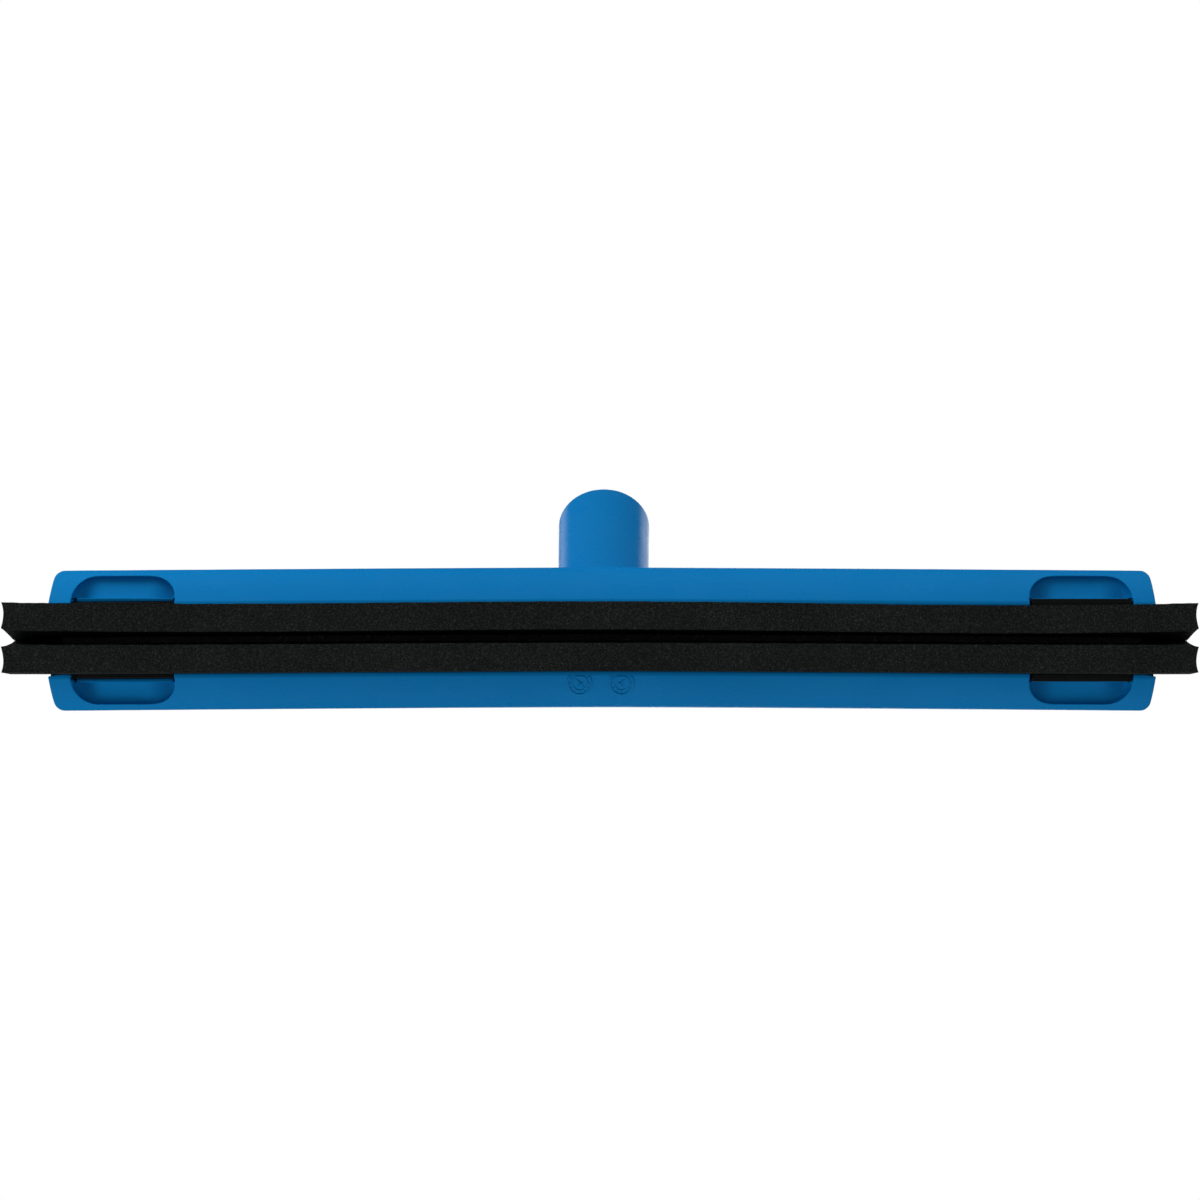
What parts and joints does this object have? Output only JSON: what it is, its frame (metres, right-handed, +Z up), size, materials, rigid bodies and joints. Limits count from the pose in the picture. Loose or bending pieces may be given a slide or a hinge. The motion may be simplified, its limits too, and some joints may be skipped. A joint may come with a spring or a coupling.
{
  "type": "floor squeegee head with replaceable cassette",
  "caption": "Floor squeegee head: a boat-shaped plastic housing with an angled handle socket holds a slide-in cassette with a folded foam double blade.",
  "frame": {"origin": "on the floor plane, midway between the two blade tips, at the middle of the blade length", "axes": "+X along the blades towards the end with the release tabs, +Y to the front, away from the handle, +Z up; the handle neck leans back towards -Y"},
  "size_m": [0.4054, 0.0801, 0.114],
  "materials": {
    "housing_plastic": "satin moulded polypropylene",
    "carrier_plastic": "gloss black moulded plastic",
    "keel_plastic": "gloss extruded plastic",
    "foam_rubber": "cut cellular rubber, fine open pores"
  },
  "bodies": {
    "head": {"housing": "housing_plastic", "neck": "housing_plastic"},
    "cassette": {"carrier": "carrier_plastic", "keel_left": "keel_plastic", "keel_right": "keel_plastic", "foam_strip": "foam_rubber"},
    "latch_front": {"latch_tab_front": "carrier_plastic"},
    "latch_rear": {"latch_tab_rear": "carrier_plastic"}
  },
  "joints": [
    {"name": "cassette_slide", "type": "slide", "parent": "head", "child": "cassette", "axis": [1, 0, 0], "range_m": [0, 0.4]},
    {"name": "latch_front_press", "type": "hinge", "parent": "cassette", "child": "latch_front", "pos_m": [0.1659, 0.01225, 0.034], "axis": [-1, 0, 0], "range_deg": [0, 20], "stiffness_Nm_per_rad": 0.15},
    {"name": "latch_rear_press", "type": "hinge", "parent": "cassette", "child": "latch_rear", "pos_m": [0.1659, -0.01225, 0.034], "axis": [1, 0, 0], "range_deg": [0, 20], "stiffness_Nm_per_rad": 0.15}
  ]
}
